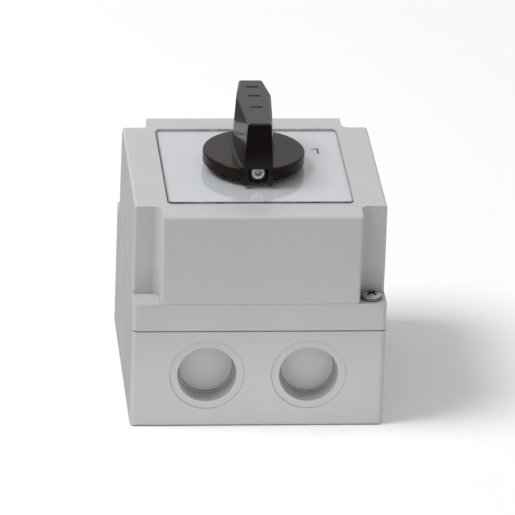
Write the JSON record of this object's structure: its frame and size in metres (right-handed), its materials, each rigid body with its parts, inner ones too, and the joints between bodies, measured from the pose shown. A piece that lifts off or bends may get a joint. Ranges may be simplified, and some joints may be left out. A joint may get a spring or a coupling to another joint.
{
  "type": "rotary isolator switch",
  "caption": "Enclosed rotary isolator switch: square moulded box with recessed cover corners, threaded cable entries and a lever knob that turns a shaft with stacked cam contacts.",
  "frame": {"origin": "centre of the enclosure's flat back face", "axes": "+Z from the back face out to the handle, +Y to the top of the switch (the off mark), cable entries in the -Y side, +X to the right seen from the front"},
  "size_m": [0.1, 0.1, 0.1173],
  "materials": {
    "grey_shell": "moulded, fine satin texture",
    "blank_grey": "moulded, satin",
    "black_knob": "moulded, semi-gloss",
    "seal_rubber": "soft, matt",
    "white_label": "printed sheet",
    "clear_window": "clear, polished",
    "zinc_screw": "zinc plated",
    "bright_steel": "turned, bright",
    "spring_steel": "drawn wire and strip",
    "cream_moulding": "moulded, matt",
    "carrier_plastic": "moulded, matt",
    "orange_cam": "moulded, matt",
    "dark_moulding": "moulded, matt",
    "contact_brass": "stamped, bright"
  },
  "bodies": {
    "enclosure": {"enclosure_base": "grey_shell", "enclosure_cover": "grey_shell", "entry_blank_left": "blank_grey", "entry_blank_right": "blank_grey", "base_gasket": "seal_rubber", "shaft_seal": "seal_rubber", "label_plate": "white_label", "clear_window": "clear_window", "cover_screws": "zinc_screw", "switch_screws": "zinc_screw", "tie_screws": "zinc_screw", "earth_screws": "zinc_screw", "terminal_screws": "zinc_screw", "spring_1_rear": "spring_steel", "spring_1_front": "spring_steel", "spring_2_rear": "spring_steel", "spring_2_front": "spring_steel", "index_spring_left": "spring_steel", "index_spring_right": "spring_steel", "switch_base": "cream_moulding", "contact_stage_1": "cream_moulding", "contact_stage_2": "cream_moulding", "index_housing": "dark_moulding", "switch_cap": "dark_moulding", "fixed_contacts_1": "contact_brass", "fixed_contacts_2": "contact_brass", "earth_terminal": "contact_brass"},
    "handle": {"knob_disc": "black_knob", "knob_grip": "black_knob", "grip_screw": "bright_steel", "knob_clip": "bright_steel", "drive_shaft": "bright_steel", "cam_1": "orange_cam", "cam_2": "orange_cam", "index_wheel": "orange_cam"},
    "contact_1_rear": {"plunger_1_rear": "carrier_plastic", "bridge_1_rear": "contact_brass"},
    "contact_1_front": {"plunger_1_front": "carrier_plastic", "bridge_1_front": "contact_brass"},
    "contact_2_rear": {"plunger_2_rear": "carrier_plastic", "bridge_2_rear": "contact_brass"},
    "contact_2_front": {"plunger_2_front": "carrier_plastic", "bridge_2_front": "contact_brass"}
  },
  "joints": [
    {"name": "handle_turn", "type": "hinge", "parent": "enclosure", "child": "handle", "pos_m": [0, 0, 0.0973], "axis": [0, 0, -1], "range_deg": [0, 60], "deforming": ["index_spring_left", "index_spring_right"]},
    {"name": "contact_1_rear_travel", "type": "slide", "parent": "enclosure", "child": "contact_1_rear", "axis": [0, -1, 0], "range_m": [0, 0.0026], "deforming": ["spring_1_rear"]},
    {"name": "contact_1_front_travel", "type": "slide", "parent": "enclosure", "child": "contact_1_front", "axis": [0, 1, 0], "range_m": [0, 0.0026], "deforming": ["spring_1_front"]},
    {"name": "contact_2_rear_travel", "type": "slide", "parent": "enclosure", "child": "contact_2_rear", "axis": [0, -1, 0], "range_m": [0, 0.0026], "deforming": ["spring_2_rear"]},
    {"name": "contact_2_front_travel", "type": "slide", "parent": "enclosure", "child": "contact_2_front", "axis": [0, 1, 0], "range_m": [0, 0.0026], "deforming": ["spring_2_front"]}
  ],
  "couplings": [
    {"joint": "contact_1_rear_travel", "follows": "handle_turn", "m_per_rad": 0.0024828},
    {"joint": "contact_1_front_travel", "follows": "handle_turn", "m_per_rad": 0.0024828},
    {"joint": "contact_2_rear_travel", "follows": "handle_turn", "m_per_rad": 0.0024828},
    {"joint": "contact_2_front_travel", "follows": "handle_turn", "m_per_rad": 0.0024828}
  ]
}
